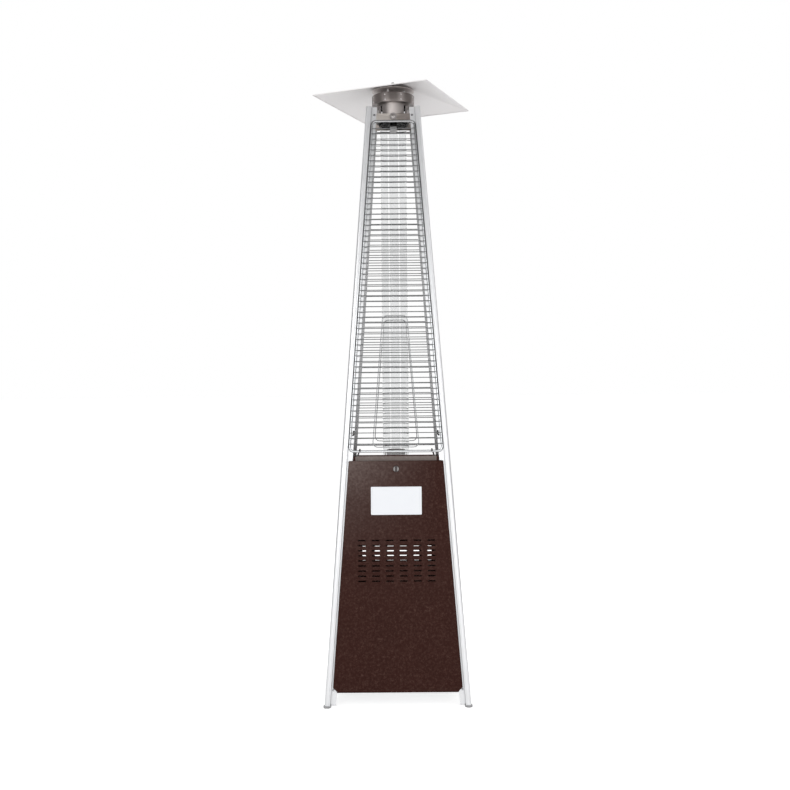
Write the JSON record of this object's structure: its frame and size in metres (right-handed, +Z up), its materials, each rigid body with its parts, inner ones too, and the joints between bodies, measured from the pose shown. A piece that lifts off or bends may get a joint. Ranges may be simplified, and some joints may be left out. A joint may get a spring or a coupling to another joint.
{
  "type": "pyramid patio heater",
  "caption": "Tall pyramid patio heater: sloping corner posts, slotted base with drop-down door, wire guards round a glass flame tube, and a square reflector on top.",
  "frame": {"origin": "on the ground under the middle of the heater", "axes": "+Z up along the heater, -Y out through the door, +X to the right as the door is faced"},
  "size_m": [0.592, 0.592, 2.2931],
  "materials": {
    "bar_screw_front": "zinc plated",
    "bar_screw_left": "zinc plated",
    "bar_screw_rear": "zinc plated",
    "bar_screw_right": "zinc plated",
    "burner_head": "brushed",
    "burner_pan": "matt black",
    "control_knob": "moulded black plastic",
    "cylinder_shelf": "zinc plated",
    "deck_plate": "hammered dark bronze powder coat",
    "deflector_disc": "brushed",
    "door_bracket_left": "zinc plated",
    "door_bracket_right": "zinc plated",
    "door_latch": "zinc plated",
    "door_panel": "hammered dark bronze powder coat",
    "flame_probe": "turned brass",
    "foot_front_left": "moulded black plastic",
    "foot_front_right": "moulded black plastic",
    "foot_rear_left": "moulded black plastic",
    "foot_rear_right": "moulded black plastic",
    "gas_inlet": "turned brass",
    "gas_jet": "turned brass",
    "gas_pipe": "turned brass",
    "gas_valve": "turned brass",
    "glass_tube": "clear borosilicate",
    "guard_front": "bright plated wire",
    "guard_left": "bright plated wire",
    "guard_rear": "bright plated wire",
    "guard_right": "bright plated wire",
    "head_bar_front": "brushed",
    "head_bar_left": "brushed",
    "head_bar_rear": "brushed",
    "head_bar_right": "brushed",
    "head_cup": "brushed",
    "head_drum": "brushed",
    "head_stud_1": "brushed",
    "head_stud_2": "brushed",
    "head_stud_3": "brushed",
    "head_stud_4": "brushed",
    "igniter_body": "moulded black plastic",
    "igniter_button": "zinc plated",
    "left_panel": "hammered dark bronze powder coat",
    "notice_plate": "bare white plate",
    "post_front_left": "satin anodised",
    "post_front_right": "satin anodised",
    "post_rear_left": "satin anodised",
    "post_rear_right": "satin anodised",
    "rear_panel": "hammered dark bronze powder coat",
    "reflector": "matt mill finish",
    "reflector_bolt": "zinc plated",
    "reflector_nut": "zinc plated",
    "right_panel": "hammered dark bronze powder coat",
    "spark_electrode": "glazed ceramic",
    "tube_seal": "red silicone",
    "tube_top_ring": "matt black",
    "valve_stem": "brushed"
  },
  "bodies": {
    "heater_frame": {"bar_screw_front": "bar_screw_front", "bar_screw_left": "bar_screw_left", "bar_screw_rear": "bar_screw_rear", "bar_screw_right": "bar_screw_right", "burner_head": "burner_head", "burner_pan": "burner_pan", "cylinder_shelf": "cylinder_shelf", "deck_plate": "deck_plate", "deflector_disc": "deflector_disc", "door_bracket_left": "door_bracket_left", "door_bracket_right": "door_bracket_right", "flame_probe": "flame_probe", "foot_front_left": "foot_front_left", "foot_front_right": "foot_front_right", "foot_rear_left": "foot_rear_left", "foot_rear_right": "foot_rear_right", "gas_inlet": "gas_inlet", "gas_jet": "gas_jet", "gas_pipe": "gas_pipe", "gas_valve": "gas_valve", "glass_tube": "glass_tube", "guard_front": "guard_front", "guard_left": "guard_left", "guard_rear": "guard_rear", "guard_right": "guard_right", "head_bar_front": "head_bar_front", "head_bar_left": "head_bar_left", "head_bar_rear": "head_bar_rear", "head_bar_right": "head_bar_right", "head_cup": "head_cup", "head_drum": "head_drum", "head_stud_1": "head_stud_1", "head_stud_2": "head_stud_2", "head_stud_3": "head_stud_3", "head_stud_4": "head_stud_4", "igniter_body": "igniter_body", "left_panel": "left_panel", "post_front_left": "post_front_left", "post_front_right": "post_front_right", "post_rear_left": "post_rear_left", "post_rear_right": "post_rear_right", "rear_panel": "rear_panel", "reflector": "reflector", "reflector_bolt": "reflector_bolt", "reflector_nut": "reflector_nut", "right_panel": "right_panel", "spark_electrode": "spark_electrode", "tube_seal": "tube_seal", "tube_top_ring": "tube_top_ring"},
    "door": {"door_panel": "door_panel", "notice_plate": "notice_plate"},
    "latch": {"door_latch": "door_latch"},
    "stem": {"valve_stem": "valve_stem"},
    "knob": {"control_knob": "control_knob"},
    "igniter": {"igniter_button": "igniter_button"}
  },
  "joints": [
    {"name": "door_hinge", "type": "hinge", "parent": "heater_frame", "child": "door", "pos_m": [0, -0.24736, 0.0592], "axis": [1, 0, 0], "range_deg": [0, 92]},
    {"name": "latch_turn", "type": "hinge", "parent": "door", "child": "latch", "pos_m": [0, -0.19335, 0.846], "axis": [0, -0.9972, 0.0748], "range_deg": [0, 90]},
    {"name": "stem_push", "type": "slide", "parent": "heater_frame", "child": "stem", "axis": [0, -1, 0], "range_m": [0, 0.004], "stiffness_N_per_m": 600, "springref_m": -0.002},
    {"name": "knob_turn", "type": "hinge", "parent": "stem", "child": "knob", "pos_m": [0, 0.20397, 0.795], "axis": [0, 1, 0], "range_deg": [0, 180]},
    {"name": "igniter_push", "type": "slide", "parent": "heater_frame", "child": "igniter", "axis": [0, -1, 0], "range_m": [0, 0.005], "stiffness_N_per_m": 400, "springref_m": -0.002}
  ]
}
